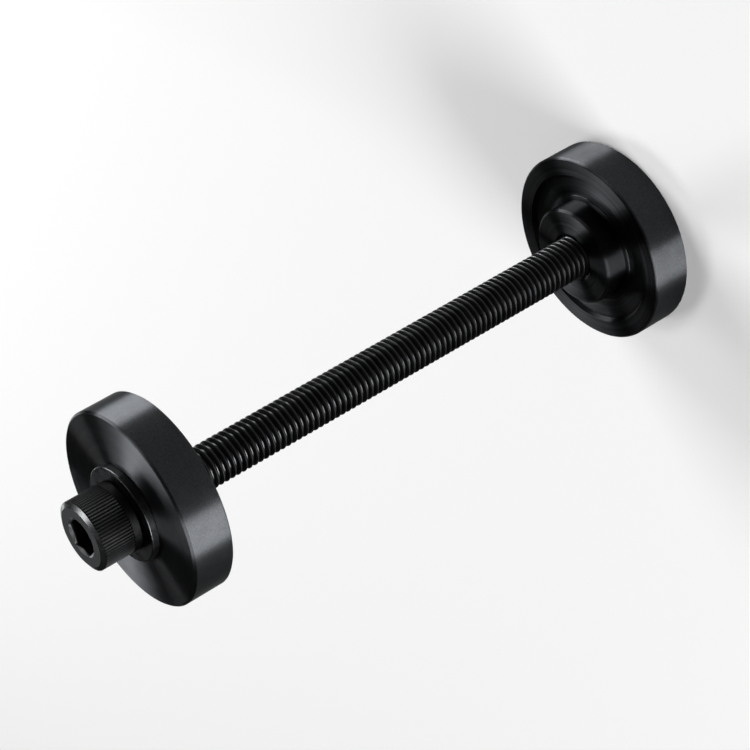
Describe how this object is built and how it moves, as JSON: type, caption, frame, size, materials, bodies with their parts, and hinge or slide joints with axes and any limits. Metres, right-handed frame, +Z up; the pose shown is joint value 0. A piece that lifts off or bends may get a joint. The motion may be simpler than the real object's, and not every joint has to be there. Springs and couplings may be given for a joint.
{
  "type": "bottom bracket tool",
  "caption": "Press tool for bicycle bottom bracket cups: a knurled socket-head bolt and washer draw a threaded stepped disc towards a loose stepped guide disc.",
  "frame": {"origin": "middle of the threaded disc's flat back, on which the tool stands", "axes": "+Z up along the bolt, from the threaded disc to the bolt head; -Y towards the side from which the picture was taken"},
  "size_m": [0.0454, 0.0454, 0.152],
  "materials": {
    "bolt_steel": "black oxide, rolled thread and knurl",
    "washer_steel": "black oxide, stamped and tumbled",
    "disc_steel": "black oxide over fine turning marks"
  },
  "bodies": {
    "washer": {"washer": "washer_steel"},
    "bolt": {"bolt": "bolt_steel"},
    "guide_disc": {"guide_disc": "disc_steel"},
    "threaded_disc": {"threaded_disc": "disc_steel"}
  },
  "joints": [
    {"name": "bolt_turn", "type": "hinge", "parent": "washer", "child": "bolt", "pos_m": [0, 0, 0.142], "axis": [0, 0, -1], "range_deg": [0, 14400]},
    {"name": "threaded_disc_draw", "type": "slide", "parent": "washer", "child": "threaded_disc", "axis": [0, 0, 1], "range_m": [0, 0.06]},
    {"name": "guide_disc_slide", "type": "slide", "parent": "washer", "child": "guide_disc", "axis": [0, 0, -1], "range_m": [0, 0.05]}
  ],
  "couplings": [
    {"joint": "bolt_turn", "follows": "threaded_disc_draw", "rad_per_m": 4188.8}
  ]
}
